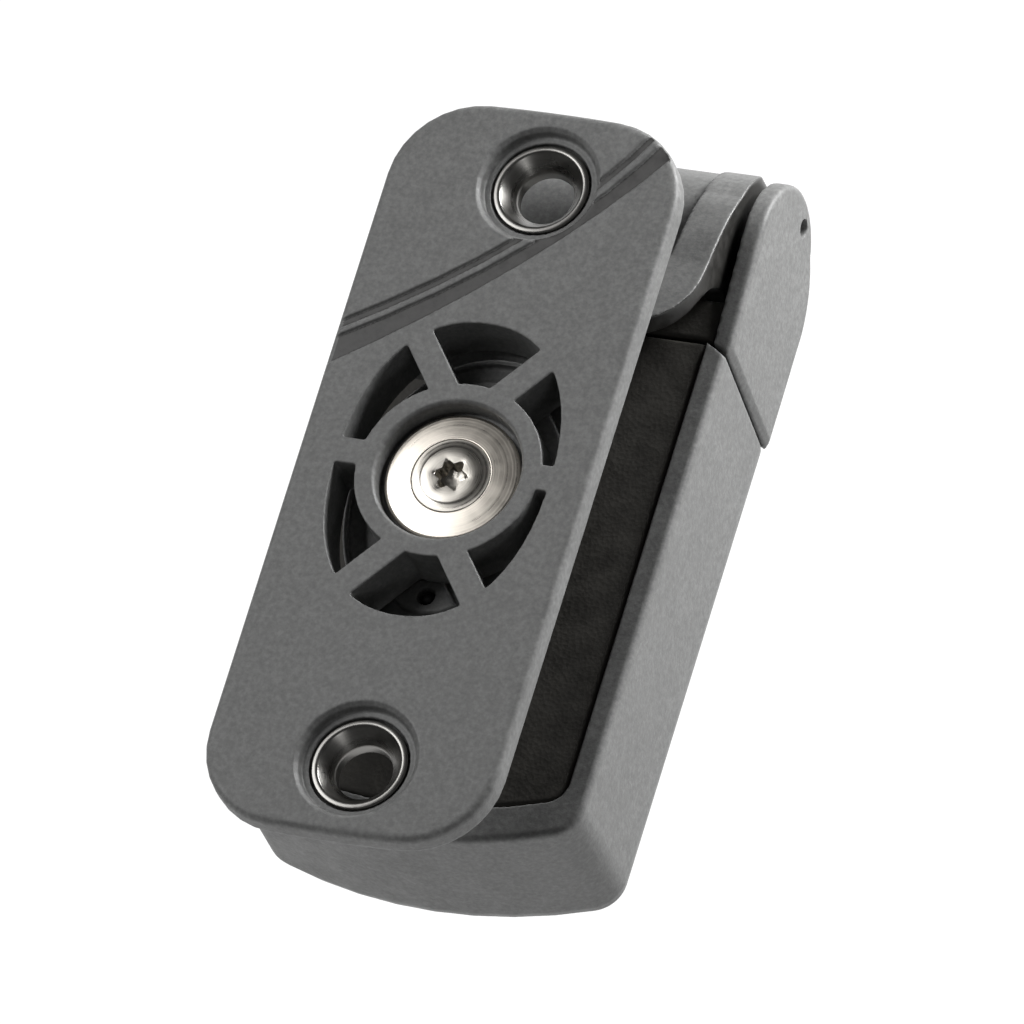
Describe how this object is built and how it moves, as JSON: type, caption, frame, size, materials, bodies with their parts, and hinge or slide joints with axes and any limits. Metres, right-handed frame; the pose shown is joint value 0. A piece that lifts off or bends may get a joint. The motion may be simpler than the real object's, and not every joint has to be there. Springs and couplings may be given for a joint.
{
  "type": "swivel lever cam cleat",
  "caption": "Rope cleat with a two-hole mounting plate, a swivel arm under its spoked hub and a hinged spring lever that holds a toothed cam.",
  "frame": {"origin": "on the swivel axis, in the plane of the lever's flat back", "axes": "+X across the width, +Y along the length towards the lever hinge, +Z out of the mounting plate's face"},
  "size_m": [0.046, 0.1007, 0.038],
  "materials": {
    "grey_nylon": "fine mottled moulded grey glass-filled nylon",
    "dark_rubber": "charcoal, finely grained rubber",
    "black_acetal": "smooth black acetal",
    "cup_steel": "pressed stainless steel, turned finish",
    "washer_steel": "bright turned stainless steel",
    "screw_steel": "stainless steel, slightly dulled",
    "spring_steel": "drawn stainless spring wire",
    "plain_steel": "plain stainless steel",
    "cast_steel": "sintered stainless steel"
  },
  "bodies": {
    "plate": {"mount_plate": "grey_nylon", "screw_cup_upper": "cup_steel", "screw_cup_lower": "cup_steel", "hub_bush": "black_acetal"},
    "swivel": {"swivel_arm": "grey_nylon", "retaining_washer": "washer_steel", "pivot_screw": "screw_steel", "pivot_nut": "screw_steel", "detent_spring": "spring_steel", "hinge_bush_left": "black_acetal", "hinge_bush_right": "black_acetal"},
    "detent": {"detent_ball": "black_acetal"},
    "lever": {"lower_housing": "grey_nylon", "top_cap": "grey_nylon", "front_pad": "dark_rubber", "cap_insert": "dark_rubber", "rear_cover": "grey_nylon", "cam_carrier": "plain_steel", "cam_axle": "plain_steel", "cam_spring": "spring_steel", "hinge_pin_left": "plain_steel", "spacer_washer_left": "black_acetal", "hinge_spring_left": "spring_steel", "cap_screw_left": "screw_steel", "axle_clip_left": "spring_steel", "hinge_pin_right": "plain_steel", "spacer_washer_right": "black_acetal", "hinge_spring_right": "spring_steel", "cap_screw_right": "screw_steel", "axle_clip_right": "spring_steel", "cover_screw_1": "screw_steel", "cover_screw_2": "screw_steel", "cover_screw_3": "screw_steel", "cover_screw_4": "screw_steel", "carrier_screw_1": "screw_steel", "carrier_screw_2": "screw_steel"},
    "cam": {"cam": "cast_steel"}
  },
  "joints": [
    {"name": "swivel_turn", "type": "hinge", "parent": "plate", "child": "swivel", "pos_m": [0, 0, 0.033], "axis": [0, 0, 1], "continuous": true},
    {"name": "lever_open", "type": "hinge", "parent": "swivel", "child": "lever", "pos_m": [0, 0.0433, 0.0142], "axis": [1, 0, 0], "range_deg": [0, 120], "stiffness_Nm_per_rad": 0.02, "springref_deg": -34.38},
    {"name": "cam_rock", "type": "hinge", "parent": "lever", "child": "cam", "pos_m": [-0.003, 0, 0.012], "axis": [0, 1, 0], "range_deg": [-30, 0], "stiffness_Nm_per_rad": 0.01, "springref_deg": 28.65},
    {"name": "detent_slide", "type": "slide", "parent": "swivel", "child": "detent", "axis": [0, 0, 1], "range_m": [0, 0.0004], "stiffness_N_per_m": 20, "springref_m": 0.001}
  ]
}
